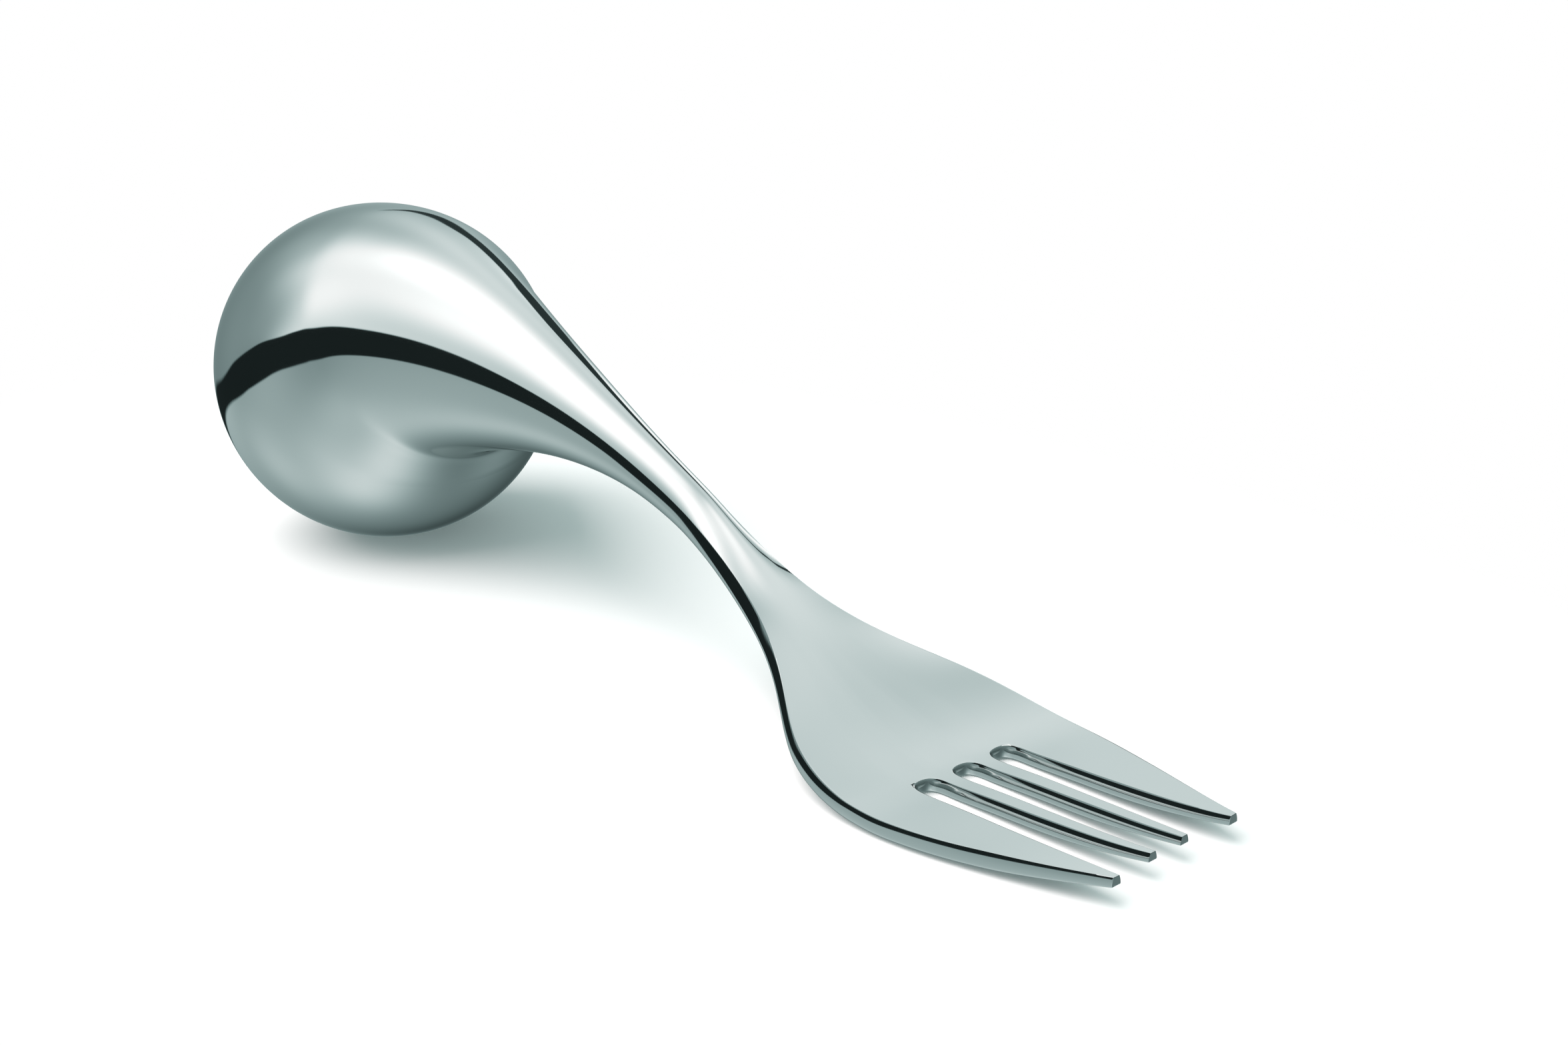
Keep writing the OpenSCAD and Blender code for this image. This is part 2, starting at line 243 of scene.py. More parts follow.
for v in HANDLE_STEPS:
    bpy.ops.mesh.extrude_edges_move()
    section = handle_section(v)
    place_ring(section, 0.0)
    drop = FLANK_DROP * min(1, v / DROP_FADE) * ring["high"] ** 2 / ring["wide"]
    if v < SOFT_END:
        note_points(section, v < CROWN_END)
    mesh = bmesh.from_edit_mesh(skin.data)
    mesh.verts.index_update()
    handle_rings[v] = [p.index for p in mesh.verts if p.select]
    drops.update({p.index: drop * (p.co.y / ring["wide"]) ** 2 for p in mesh.verts if p.select})
print("neck at", [round(v, 4) for v in ring["mid"]])

# %% Lower the widest line and soften the hollow
mesh = bmesh.from_edit_mesh(skin.data)
mesh.verts.ensure_lookup_table()
neck_loop = [v.index for v in mesh.verts if v.select]
for number, drop in drops.items():
    mesh.verts[number].co.z -= drop


def select_points(numbers):
    """Select just these points of the skin."""
    bpy.ops.mesh.select_all(action="DESELECT")
    mesh = bmesh.from_edit_mesh(skin.data)
    mesh.verts.ensure_lookup_table()
    for number in numbers:
        mesh.verts[number].select_set(True)
    mesh.select_flush(True)
    bmesh.update_edit_mesh(skin.data)


for numbers in (hollow, hollow + crown):
    select_points(numbers)
    bpy.ops.mesh.vertices_smooth(factor=0.5, repeat=1)
select_points(neck_loop)
print("flanks lowered by up to", round(max(drops.values()) * 1000, 2), "mm,",
      len(hollow) + len(crown), "points softened")

# %% [markdown]
# ## Palm of the head
# From the neck the steel is forged flat. It spreads sideways, bends down to the table and is dished
# a little between its edges. The ring goes on, but its points now slide sideways into columns that
# will become the edges of the tines and of the slots between them. The side walls of the head lean
# inwards to a crisp upper edge, and that is where the dark line along the edge is mirrored.

# %% Outlines of the head
TIP_X, WIDE_X, LOW_X = 136.2, 109.2, 112.0
HALF_HEAD, HALF_END = 15.65, 9.3
LOW_Z, TIP_Z = 1.4, 2.83
PLAN_BACK = ((NECK_X, NECK_HALF_W), (96.1, NECK_HALF_W), (89.8, HALF_HEAD), (WIDE_X, HALF_HEAD))
PLAN_FRONT = ((WIDE_X, HALF_HEAD), (118.8, HALF_HEAD), (130.2, 11.1), (TIP_X, HALF_END))
EDGE_BACK = ((NECK_X, NECK_Z), (71.3, NECK_Z - 4.9 * tan(NECK_SLOPE)), (95.2, LOW_Z), (LOW_X, LOW_Z))
EDGE_FRONT = ((LOW_X, LOW_Z), (117.2, LOW_Z), (125.7, 1.465), (TIP_X, TIP_Z))


def ease(t):
    return t * t * (3 - 2 * t)


def along(x, start, end):
    return max(0.0, min(1.0, (x - start) / (end - start)))


def curve_at(points, x):
    """Second value of a curve where its first value is x, found by halving."""
    a, b, c, d = (Vector(p) for p in points)
    low, high = 0.0, 1.0
    for _ in range(30):
        t = (low + high) / 2
        if bezier(a, b, c, d, t).x < x:
            low = t
        else:
            high = t
    return bezier(a, b, c, d, t).y


def plan_w(x):
    """Half width of the head seen from above."""
    return curve_at(PLAN_BACK if x < WIDE_X else PLAN_FRONT, x)


def edge_z(x):
    """Height of the head's side edges."""
    return curve_at(EDGE_BACK if x < LOW_X else EDGE_FRONT, x)


print("widest half", round(plan_w(WIDE_X), 2), "mm, lowest edge line", round(edge_z(LOW_X), 2), "mm")

# %% Thickness, dish and lean of the head
ROOT_X, DISH_X = 108.45, 104.5
HALF_PALM, HALF_TIP, THIN_L = 0.72, 0.42, 11
DISH_FADE, DISH_FADE_L = 0.78, 14.5
SLOPE_STEP, UPRIGHT_L = 0.1, 3
WALL_BACK, WALL_BACK_MORE, WALL_SPAN = 0.42, 0.08, (110, 122)


def half_t(x):
    """Half thickness of the steel."""
    if x < LOW_X:
        return HALF_PALM + (NECK_HALF_T - HALF_PALM) * (1 - along(x, NECK_X, LOW_X)) ** 2
    return HALF_PALM - (HALF_PALM - HALF_TIP) * along(x, TIP_X - THIN_L, TIP_X)


def dish_at(x):
    """Depth of the dish between the edges."""
    if x < DISH_X:
        return ease(along(x, NECK_X, DISH_X))
    return 1 - DISH_FADE * ease(along(x, DISH_X, DISH_X + DISH_FADE_L))


def lean_at(x):
    """Lean of a section, which stands upright again at the tips."""
    slope = atan((edge_z(x + SLOPE_STEP) - edge_z(x - SLOPE_STEP)) / (2 * SLOPE_STEP))
    return slope * (1 - along(x, ROOT_X, TIP_X - UPRIGHT_L))


def head_point(x, y, lift):
    """Point of the head: lift is the share of the half thickness above or below its middle."""
    lean, w = lean_at(min(x, TIP_X - SLOPE_STEP)), plan_w(min(x, TIP_X))
    s = lift * half_t(x)
    dish = dish_at(x) * (1 - min(1.0, abs(y) / w) ** 2)
    return at(x - s * sin(lean), y, edge_z(x) + s * cos(lean) - dish)


def wall_lean(x):
    """How far the upper edge of a side wall stands back from its middle."""
    return (WALL_BACK + WALL_BACK_MORE * ease(along(x, *WALL_SPAN))) * half_t(x)


print("palm", round(2 * half_t(LOW_X), 2), "mm thick, tips", round(2 * half_t(TIP_X), 2), "mm")

# %% Columns of the palm
ROOT_COLUMNS = (15.37, 14.4, 12.3, 10.2, 8.3, 7.39, 3.75, 3.25, 2.785, 2.32, 1.82)
ROUND_SPAN, SPREAD_SPAN, FLAT_SPAN = (48, 76), (67.5, 97), (82, 99)
RIM_MORE = 0.38


def shift(x, start, end):
    """Soft change from 0 to 1 along the fork."""
    return ease(along(x, start, end))


def rim(x, y):
    """How much thicker the head is towards its rim, below its middle plane."""
    return 1 + RIM_MORE * min(1.0, abs(y) / plan_w(min(x, TIP_X))) ** 2


def upper_column(x, k, w):
    """Half width and lift of an upper point: a crown that flattens between two crisp edges."""
    turn = (k + 1) * STEP
    round_share, spread = 1 - shift(x, *ROUND_SPAN), shift(x, *SPREAD_SPAN)
    # The crisp edge stands back from the outline, and comes out to it where the neck widens.
    back = (0.27 + 0.05 * shift(x, NECK_X, 78) - 0.31 * shift(x, 80, 88.5)
            + 0.27 * shift(x, 89, 104))
    ratio = (1 - spread) * cos(turn) / cos(STEP) + spread * ROOT_COLUMNS[k] / ROOT_COLUMNS[0]
    edge_lift = min(1.0, 0.35 + 0.0255 * (x - NECK_X))
    lift = edge_lift + (1 - edge_lift) * (1 - ratio ** 2)
    round_lift = SHRINK * sin(turn) - FLANK_DROP * cos(turn) ** 2
    return ((1 - round_share) * (w - back) * ratio + round_share * w * SHRINK * cos(turn),
            (1 - round_share) * lift + round_share * round_lift)


def lower_column(x, k):
    """Half width and lift of a lower point: the round neck turns into a flat underside."""
    w, flat, spread = plan_w(x), shift(x, *FLAT_SPAN), shift(x, *SPREAD_SPAN)
    # The section is an ellipse at n = 2 and squarer for a larger n.
    n = 2 + 4 * shift(x, 72, 90) + 10 * shift(x, 86, 102)
    y = (w * (1 - spread) * SHRINK * cos((k + 1) * STEP)
         + spread * (w - 0.02) * ROOT_COLUMNS[k] / ROOT_COLUMNS[0])
    lift = (1 - min(0.9999, y / (w * SHRINK)) ** n) ** (1 / n)
    drop = FLANK_DROP * (1 - spread) * (y / w) ** 2
    return y, -(lift * SHRINK * (1 - flat) + flat * rim(x, y)) - drop


print("rim", round(rim(LOW_X, HALF_HEAD), 2), "times as thick below as the middle of the palm")

# %% Slide and name the points of a ring
TOP_CREASE, LOW_CREASE, END_CREASE = 0.7, 0.34, 0.62
CREASE_SPAN = (56, 86)
edge_crease = {}


def slide_palm_ring(x):
    """Slide the selected ring into the palm's columns at x."""
    flat = shift(x, *FLAT_SPAN)
    side_w = plan_w(x) * (1 + (SHRINK - 1) * (1 - flat))
    side_lift = -FLANK_DROP - 0.2 * shift(x, NECK_X, 84) + 0.15 * shift(x, 85, 100)
    mesh = bmesh.from_edit_mesh(skin.data)
    moved = {}
    for vert in [v for v in mesh.verts if v.select]:
        side, k, level = labels[spot(vert.co)]
        if level > 0:
            y, lift = upper_column(x, k, plan_w(x))
        else:
            y, lift = lower_column(x, k) if level else (side_w, side_lift)
        vert.co = head_point(x, side * y, lift)
        moved[spot(vert.co)] = (side, k, level)
        if k == 0 and level > 0:
            edge_crease[spot(vert.co)] = TOP_CREASE * shift(x, *CREASE_SPAN)
        elif k == 0 and level < 0 < flat:
            edge_crease[spot(vert.co)] = flat * LOW_CREASE
    bmesh.update_edit_mesh(skin.data)
    return moved


def label_ring(points):
    """Name the points of an oval ring by side, column and upper or lower row."""
    chosen = sorted(points, key=lambda v: v.co.y)
    names = {chosen[0]: (-1, -1, 0), chosen[-1]: (1, -1, 0)}
    for number in range(2 * COLUMNS):
        side, k = (-1, number) if number < COLUMNS else (1, 2 * COLUMNS - 1 - number)
        low, high = sorted(chosen[1 + 2 * number:3 + 2 * number], key=lambda v: v.co.z)
        names[low], names[high] = (side, k, -1), (side, k, 1)
    return names


print("upper edges get crisp from", CREASE_SPAN[0], "to", CREASE_SPAN[1], "mm")

# %% Edges along the end of the handle
EDGE_START = 0.6
mesh = bmesh.from_edit_mesh(skin.data)
mesh.verts.ensure_lookup_table()
for v, numbers in handle_rings.items():
    mid, up, wide, high = handle_section(v)
    names = label_ring([mesh.verts[n] for n in numbers])
    if v > EDGE_START:
        for vert, (side, k, level) in names.items():
            if level > 0:
                y, lift = upper_column(mid.x, k, wide)
                place = mid + lift * high * up
                vert.co = at(place.x, side * y, place.y)
                if k == 0:
                    edge_crease[spot(vert.co)] = TOP_CREASE * shift(mid.x, *CREASE_SPAN)
bmesh.update_edit_mesh(skin.data)
labels = {spot(vert.co): name for vert, name in names.items()}
print("edges begin", ROUND_SPAN[0], "mm in front of the ball's middle")

# %% Slide the palm's rings
PALM_X = (69, 72, 75.5, 79, 82.5, 86, 89.5, 93, 96.5, 99.5, 102.5, 105, 107, 108.35)
for x in PALM_X:
    bpy.ops.mesh.extrude_edges_move()
    labels = slide_palm_ring(x)
print("palm of", len(PALM_X), "rings")

# %% [markdown]
# ## Tines
# The blank is slotted three times, and the slots open towards their ends. The front of the palm is
# closed with an upper and a lower face for each column. The faces of a tine are then extruded forward
# step by step, and the faces between the tines stay behind as the round roots of the slots.

# %% Close the front
SLOT_EDGES = {5: -1, 6: 1, 10: -1}
CORNER = 0.27
mesh = bmesh.from_edit_mesh(skin.data)
named = {labels[spot(v.co)]: v for v in mesh.verts if v.select}
right_end, left_end = named[-1, -1, 0], named[1, -1, 0]
order = [(-1, k) for k in range(COLUMNS)] + [(1, k) for k in reversed(range(COLUMNS))]
front = [[named[side, k, -1], named[side, k, 1]] for side, k in order]
for number, (low, high) in enumerate(front):
    side, k = order[number]
    y, x = ROOT_COLUMNS[k] * side, PALM_X[-1]
    if k in SLOT_EDGES:
        into = side * CORNER * SLOT_EDGES[k]
        middle = head_point(x + CORNER, y + into, 0)
        low.co = head_point(x + CORNER, y + into, -rim(x, y))
        edge_crease[spot(high.co)], edge_crease[spot(low.co)] = TOP_CREASE, LOW_CREASE
    elif k == 0:
        middle = None
    else:
        middle = (low.co + high.co) / 2
    end = right_end if side < 0 else left_end
    front[number] = [low, mesh.verts.new(middle) if middle else end, high]
for right, left in zip(front[:-1], front[1:]):
    for row in (0, 1):
        mesh.faces.new((right[row], left[row], left[row + 1], right[row + 1]))
bmesh.update_edit_mesh(skin.data)
root_columns = [[tuple(v.co) for v in column] for column in front]
print("front closed with", 2 * (len(front) - 1), "faces")

# %% Sides of the tines
SLOT_ROUND = 1.55
STRAIGHT_SHARE, FLARE_SHARE, FLARE_RISE = 0.45, 0.82, 0.3
OUTER_SLOT, INNER_RIGHT, INNER_LEFT = (7.12, 8.1), (1.55, 1.8), (4.02, 2.8)


def slot_side(x, from_y, to_y):
    """Side of a slot, straight at first and then curved out to its open end."""
    start = ROOT_X + SLOT_ROUND
    run = TIP_X - start
    points = ((start, from_y), (start + STRAIGHT_SHARE * run, from_y),
              (start + FLARE_SHARE * run, from_y + FLARE_RISE * (to_y - from_y)), (TIP_X, to_y))
    return from_y if x <= start else curve_at(points, x)


def tine_sides(number, x):
    """Right and left side of a tine at the middle of its walls: number 0 is the outer right one."""
    outer = (slot_side(x, *OUTER_SLOT), plan_w(min(x, TIP_X)))
    inner = (slot_side(x, *INNER_RIGHT), slot_side(x, *INNER_LEFT))
    a, b = outer if number in (0, 3) else inner
    return (-b, -a) if number < 2 else (a, b)


widths = [round(b - a, 2) for a, b in (tine_sides(n, TIP_X) for n in range(4))]
print("tines", widths, "mm wide at", TIP_X, "mm")

# %% Extrude the tines
TINE_STEPS = (2.9, 5.5, 9, 13, 17, 20.5, 23.5, 25.8, 27.1, 27.75)
INNER_SHARE = 0.968
TINE_X = tuple(ROOT_X + step for step in TINE_STEPS)
INNER_X = tuple(ROOT_X + (x - ROOT_X) * INNER_SHARE for x in TINE_X)
LOW_OUT, MID_LIFT = -0.03, -0.1


def choose(points):
    """Select the points of the skin that lie on the given places."""
    bpy.ops.mesh.select_all(action="DESELECT")
    mesh = bmesh.from_edit_mesh(skin.data)
    wanted = {spot(p) for p in points}
    for vert in mesh.verts:
        if spot(vert.co) in wanted:
            vert.select_set(True)
    mesh.select_flush(True)
    bmesh.update_edit_mesh(skin.data)


def grow_tine(number, first, last):
    """Extrude the faces of one tine forward and slide its points into place at each step."""
    columns = root_columns[first:last + 1]
    choose([p for column in columns for p in column])
    tops = [column[2][1] for column in columns]
    shares = [(y - tops[0]) / (tops[-1] - tops[0]) for y in tops]
    for x in (TINE_X if number in (0, 3) else INNER_X):
        bpy.ops.mesh.extrude_region_move()
        right, left = tine_sides(number, x)
        rows = ((-1, LOW_OUT, LOW_CREASE), (MID_LIFT, 0, 0), (1, wall_lean(x), TOP_CREASE))
        moves, placed = {}, []
        for share, column in zip(shares, columns):
            placed.append([])
            for (lift, back, crease), old in zip(rows, column):
                y = right + back + (left - right - 2 * back) * share
                new = head_point(x, y, lift * rim(x, y) if lift == -1 else lift)
                moves[spot(old)] = new
                placed[-1].append(tuple(new))
                if x in (TINE_X[-1], INNER_X[-1]) and (share in (0, 1) or crease):
                    edge_crease[spot(new)] = END_CREASE
                elif share in (0, 1) and crease:
                    edge_crease[spot(new)] = crease
        mesh = bmesh.from_edit_mesh(skin.data)
        for vert in mesh.verts:
            if vert.select:
                vert.co = moves[spot(vert.co)]
        bmesh.update_edit_mesh(skin.data)
        columns = placed


for number, (first, last) in enumerate(((0, 5), (6, 10), (11, 15), (16, 21))):
    grow_tine(number, first, last)
print("four tines of", len(TINE_X), "steps")

# %% [markdown]
# ## Crisp and soft edges
# Polishing leaves the upper edges of the head crisp and rounds the lower ones. A bevel would need
# many narrow faces. Edge creases do the same here: subdivision keeps a creased edge tight for a few
# steps and then rounds it, so the crease sets how large the rounding becomes.

# %% Crease the edges of palm, slots and tines
mesh = bmesh.from_edit_mesh(skin.data)
groups = {}
for edge in mesh.edges:
    a, b = (edge_crease.get(spot(v.co)) for v in edge.verts)
    if a is None or b is None:
        continue
    p, q = (v.co for v in edge.verts)
    upright = abs(p.z - q.z) > 4 * abs(p.x - q.x) and abs(p.z - q.z) > 2 * abs(p.y - q.y)
    if upright and not a == b == END_CREASE:
        continue
    groups.setdefault(round(min(a, b), 3), []).append(edge.index)
for crease, numbers in groups.items():
    bpy.ops.mesh.select_all(action="DESELECT")
    mesh = bmesh.from_edit_mesh(skin.data)
    mesh.edges.ensure_lookup_table()
    for n in numbers:
        mesh.edges[n].select_set(True)
    bmesh.update_edit_mesh(skin.data)
    bpy.ops.transform.edge_crease(value=crease)
bpy.ops.mesh.select_all(action="SELECT")
bpy.ops.mesh.normals_make_consistent(inside=False)
bpy.ops.object.mode_set(mode="OBJECT")
print("creased", sum(len(n) for n in groups.values()), "edges in", len(groups), "groups")

# %% Subdivide and round the ball
SMOOTH_ANGLE = radians(40)


def apply_modifier(piece, kind, **settings):
    """Add a modifier to a piece, set it and apply it."""
    bpy.context.view_layer.objects.active = piece
    modifier = piece.modifiers.new(kind.lower(), kind)
    for name, value in settings.items():
        setattr(modifier, name, value)
    bpy.ops.object.modifier_apply(modifier=modifier.name)


apply_modifier(skin, "SUBSURF", levels=3, render_levels=3)
bpy.ops.object.empty_add(location=at(0, 0, BALL_R))
ball_centre = bpy.context.object
bpy.ops.object.select_all(action="DESELECT")
skin.select_set(True)
apply_modifier(skin, "CAST", cast_type="SPHERE", factor=1.0, size=BALL_R / 1000, radius=0.0,
               object=ball_centre, use_radius_as_size=False, vertex_group="round")
bpy.data.objects.remove(ball_centre)
bpy.context.view_layer.objects.active = skin
bpy.ops.object.shade_smooth_by_angle(angle=SMOOTH_ANGLE)
print("skin of", len(skin.data.polygons), "faces")

# %% [markdown]
# ## Five pieces from one skin
# The maker presses two half shells, welds them along the middle, and welds the hollow handle to the
# forged head at the neck. Each piece is a copy of the skin with the rest cut away by bisecting planes.
# The half shells get a wall of 0.8 mm, and the head gets the tang that reaches into the handle.
# Cutting makes new points, so each piece borrows the normals of the uncut skin and no joint shows.

# %% Cutting helpers
SEAM = 0.4
WALL = 0.0008
NECK_RING_L = 0.0008
neck_plane = at(NECK.x, 0, NECK.y)
along_neck = Vector((neck_dir.x, 0, neck_dir.y))
shoulder_plane = neck_plane + NECK_RING_L * along_neck


def copy_of_skin(name):
    bpy.ops.object.select_all(action="DESELECT")
    skin.select_set(True)
    bpy.context.view_layer.objects.active = skin
    bpy.ops.object.duplicate()
    piece = bpy.context.object
    piece.name = piece.data.name = name
    piece.vertex_groups.clear()
    return piece


def cut(piece, place, normal, keep, fill=False):
    """Cut a piece by a plane and keep what lies on its front or back."""
    bpy.context.view_layer.objects.active = piece
    bpy.ops.object.mode_set(mode="EDIT")
    bpy.ops.mesh.select_mode(type="FACE")
    bpy.ops.mesh.select_all(action="SELECT")
    bpy.ops.mesh.bisect(plane_co=place, plane_no=normal, use_fill=fill, clear_inner=keep == "front",
                        clear_outer=keep == "back", threshold=1e-7)
    bpy.ops.object.mode_set(mode="OBJECT")


print("neck is cut at", [round(v, 4) for v in neck_plane])

# %% Normals at the cuts
NEAR_NECK, NEAR_SEAM = 0.0016, 0.0012
NORMAL_REACH = 2e-5


def near_cut(place, node):
    """Whether a point lies close to one of the planes that cut the skin into pieces."""
    return abs((place - neck_plane).dot(along_neck)) < NEAR_NECK or (
        node != "fork_head" and abs(place.y) < NEAR_SEAM)


def finish_piece(piece, node):
    """Smooth the piece, take over the skin's normals at the cuts and hand it to the frame."""
    bpy.ops.object.select_all(action="DESELECT")
    piece.select_set(True)
    bpy.context.view_layer.objects.active = piece
    bpy.ops.object.shade_smooth_by_angle(angle=SMOOTH_ANGLE)
    joint = piece.vertex_groups.new(name="joint")
    joint.add([v.index for v in piece.data.vertices if near_cut(v.co, node)], 1.0, "REPLACE")
    apply_modifier(piece, "DATA_TRANSFER", object=skin, use_loop_data=True,
                   data_types_loops={"CUSTOM_NORMAL"}, loop_mapping="POLYINTERP_NEAREST",
                   use_max_distance=True, max_distance=NORMAL_REACH, vertex_group="joint")
    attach(piece, "root")
    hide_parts(node)
    print(piece.name, "of", len(piece.data.polygons), "faces")


print("normals are borrowed within", NEAR_NECK * 1000, "mm of the cut at the neck")

# %% Half shells
halves = []
for name, node, side in (("left_half", "left_shell", 1), ("right_half", "right_shell", -1)):
    half = copy_of_skin(name)
    cut(half, neck_plane, along_neck, "back")
    cut(half, (0, side * SEAM / 1000, 0), (0, side, 0), "front")
    apply_modifier(half, "SOLIDIFY", thickness=WALL, offset=-1, use_even_offset=True)
    finish_piece(half, node)
    halves.append(half)

# %% Seam and neck ring
NECK_RING_WALL = 0.0014
seam_bead = copy_of_skin("seam_bead")
cut(seam_bead, neck_plane, along_neck, "back")
cut(seam_bead, (0, -SEAM / 1000, 0), (0, 1, 0), "front")
cut(seam_bead, (0, SEAM / 1000, 0), (0, 1, 0), "back")
apply_modifier(seam_bead, "SOLIDIFY", thickness=WALL, offset=-1, use_even_offset=True)
finish_piece(seam_bead, "seam_weld")

neck_ring = copy_of_skin("neck_ring")
cut(neck_ring, neck_plane, along_neck, "front")
cut(neck_ring, shoulder_plane, along_neck, "back")
apply_modifier(neck_ring, "SOLIDIFY", thickness=NECK_RING_WALL, offset=-1, use_even_offset=True)
finish_piece(neck_ring, "neck_weld")

# %% Head with its tang
TANG_INSET, TANG_L = 0.00145, 0.0228
head = copy_of_skin("head_and_tines")
cut(head, shoulder_plane, along_neck, "front", fill=True)
bpy.ops.object.mode_set(mode="EDIT")
bpy.ops.mesh.inset(thickness=TANG_INSET, use_even_offset=True)
bpy.ops.mesh.extrude_region_move(TRANSFORM_OT_translate={"value": -TANG_L * along_neck})
bpy.ops.object.mode_set(mode="OBJECT")
finish_piece(head, "fork_head")
bpy.data.objects.remove(skin)

# %% [markdown]
# ## Polished steel
# The fork is mirror polished, but not perfect: the polishing wheel leaves hair-fine lines along the
# fork and a faint haze that changes from place to place. Both are the same on every piece, so they
# are one node group. It is placed in each material with its own strength.

# %% Group of polishing marks
marks = bpy.data.node_groups.new("polishing_marks", "ShaderNodeTree")
for name, kind, value in (("Place", "NodeSocketVector", None), ("Haze Low", "NodeSocketFloat", 0.03),
                          ("Haze High", "NodeSocketFloat", 0.06), ("Pale", "NodeSocketColor", None),
                          ("Deep", "NodeSocketColor", None)):
    socket = marks.interface.new_socket(name=name, in_out="INPUT", socket_type=kind)
    if value is not None:
        socket.default_value = value
for name, kind in (("Colour", "NodeSocketColor"), ("Haze", "NodeSocketFloat"),
                   ("Height", "NodeSocketFloat")):
    marks.interface.new_socket(name=name, in_out="OUTPUT", socket_type=kind)


def add(tree, kind, inputs=None, **settings):
    """Add a node, set it, and link or fill its inputs."""
    node = tree.nodes.new(kind)
    for name, value in settings.items():
        setattr(node, name, value)
    for name, value in (inputs or {}).items():
        if isinstance(value, bpy.types.NodeSocket):
            tree.links.new(value, node.inputs[name])
        else:
            node.inputs[name].default_value = value
    return node


came_in = add(marks, "NodeGroupInput")
stretched = add(marks, "ShaderNodeMapping", {"Vector": came_in.outputs["Place"],
                                             "Scale": (0.04, 1.0, 1.0)})
lines = add(marks, "ShaderNodeTexNoise", {"Vector": stretched.outputs[0], "Scale": 5200.0,
                                          "Detail": 3.0})
cloud = add(marks, "ShaderNodeTexNoise", {"Vector": came_in.outputs["Place"], "Scale": 70.0,
                                          "Detail": 4.0})
haze = add(marks, "ShaderNodeMapRange", {"Value": cloud.outputs[0], "From Min": 0.3, "From Max": 0.7,
                                         "To Min": came_in.outputs["Haze Low"],
                                         "To Max": came_in.outputs["Haze High"]})
shade = add(marks, "ShaderNodeMix", {0: cloud.outputs[0], 6: came_in.outputs["Deep"],
                                     7: came_in.outputs["Pale"]}, data_type="RGBA")
add(marks, "NodeGroupOutput", {"Colour": shade.outputs[2], "Haze": haze.outputs[0],
                               "Height": lines.outputs[0]})
print("group with", len(marks.nodes), "nodes")

# %% Steel of head, shells and welds
def polished_steel(name, pale, deep, haze_low, haze_high, depth):
    """Mirror steel with the polishing marks at their own strength."""
    material = bpy.data.materials.new(name)
    material.use_nodes = True
    tree = material.node_tree
    steel = tree.nodes["Principled BSDF"]
    place = add(tree, "ShaderNodeTexCoord")
    group = add(tree, "ShaderNodeGroup", node_tree=marks)
    tree.links.new(place.outputs["Object"], group.inputs["Place"])
    for socket, value in (("Haze Low", haze_low), ("Haze High", haze_high), ("Pale", pale),
                          ("Deep", deep)):
        group.inputs[socket].default_value = value
    bump = add(tree, "ShaderNodeBump", {"Height": group.outputs["Height"], "Strength": depth,
                                        "Distance": 0.00001})
    steel.inputs["Metallic"].default_value = 1.0
    tree.links.new(group.outputs["Colour"], steel.inputs["Base Color"])
    tree.links.new(group.outputs["Haze"], steel.inputs["Roughness"])
    tree.links.new(bump.outputs["Normal"], steel.inputs["Normal"])
    return material


PALE, DEEP = (0.70, 0.72, 0.715, 1), (0.66, 0.685, 0.68, 1)
head_steel = polished_steel("head_polish", PALE, DEEP, 0.035, 0.06, 0.02)
shell_steel = polished_steel("shell_polish", PALE, DEEP, 0.03, 0.05, 0.015)
weld_steel = polished_steel("weld_polish", PALE, DEEP, 0.03, 0.05, 0.015)
for piece, material in ((head, head_steel), (halves[0], shell_steel), (halves[1], shell_steel),
                        (seam_bead, weld_steel), (neck_ring, weld_steel)):
    piece.data.materials.clear()
    piece.data.materials.append(material)
print("steel on five pieces")

# %% [markdown]
# ## Filler round the tang
# Inside the handle a plug of hard resin holds the tang. Nobody sees it, but it is a part of the fork,
# so it gets a matt grey with the grain of a filled resin.

# %% Resin
resin = bpy.data.materials.new("filler_resin")
resin.use_nodes = True
resin_tree = resin.node_tree
resin_shader = resin_tree.nodes["Principled BSDF"]
resin_place = add(resin_tree, "ShaderNodeTexCoord")
grain = add(resin_tree, "ShaderNodeTexNoise", {"Vector": resin_place.outputs["Object"],
                                               "Scale": 1800.0, "Detail": 4.0})
resin_colour = add(resin_tree, "ShaderNodeMix", {0: grain.outputs[0], 6: (0.20, 0.20, 0.19, 1),
                                                 7: (0.34, 0.33, 0.31, 1)}, data_type="RGBA")
resin_rough = add(resin_tree, "ShaderNodeMapRange", {"Value": grain.outputs[0], "To Min": 0.6,
                                                     "To Max": 0.85})
resin_bump = add(resin_tree, "ShaderNodeBump", {"Height": grain.outputs[0], "Strength": 0.4,
                                                "Distance": 0.0001})
resin_tree.links.new(resin_colour.outputs[2], resin_shader.inputs["Base Color"])
resin_tree.links.new(resin_rough.outputs[0], resin_shader.inputs["Roughness"])
resin_tree.links.new(resin_bump.outputs[0], resin_shader.inputs["Normal"])
filler = bpy.data.objects["tang_filler"]
for slot in filler.material_slots:
    slot.material = resin
print("resin on", filler.name, "with", len(filler.material_slots), "slots")

# %% [markdown]
# ## Table and light
# The fork stands on a white table under one large, slightly warm lamp, and the rest of the room gives
# a cool even light. The two colours make the soft border of the shadow neutral and its core greenish.
# Away from the fork the table fades to plain white for the camera, like a paper sweep.

